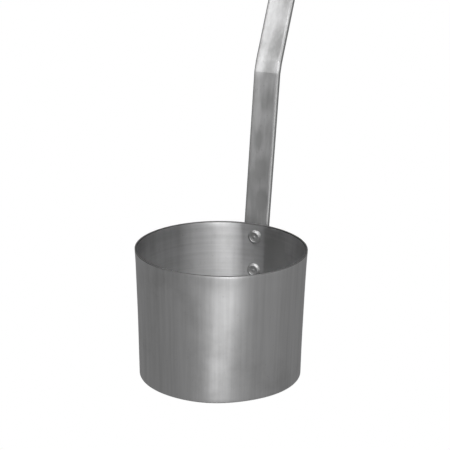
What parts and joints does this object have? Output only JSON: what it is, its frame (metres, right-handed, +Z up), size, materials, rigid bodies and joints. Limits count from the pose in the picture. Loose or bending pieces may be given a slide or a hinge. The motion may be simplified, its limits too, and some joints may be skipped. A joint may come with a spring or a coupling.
{
  "type": "candle melting pot",
  "caption": "Open, slightly tapered drawn aluminium pot with a long bent flat strap handle riveted to the outside of its wall, ending in a hanging hole.",
  "frame": {"origin": "centre of the base's flat underside, where the pot stands", "axes": "+Z up out of the pot's mouth, +Y towards the side that carries the handle, +X to the right when facing the handle from the front"},
  "size_m": [0.126, 0.2073, 0.3374],
  "materials": {
    "pot_aluminium": "satin, with fine draw lines up the wall",
    "handle_aluminium": "mill finish, dull, with grain along the bar",
    "rivet_aluminium": "smooth, lightly worn"
  },
  "bodies": {
    "root": {"pot_shell": "pot_aluminium", "handle_strap": "handle_aluminium", "upper_rivet": "rivet_aluminium", "lower_rivet": "rivet_aluminium"}
  },
  "joints": []
}
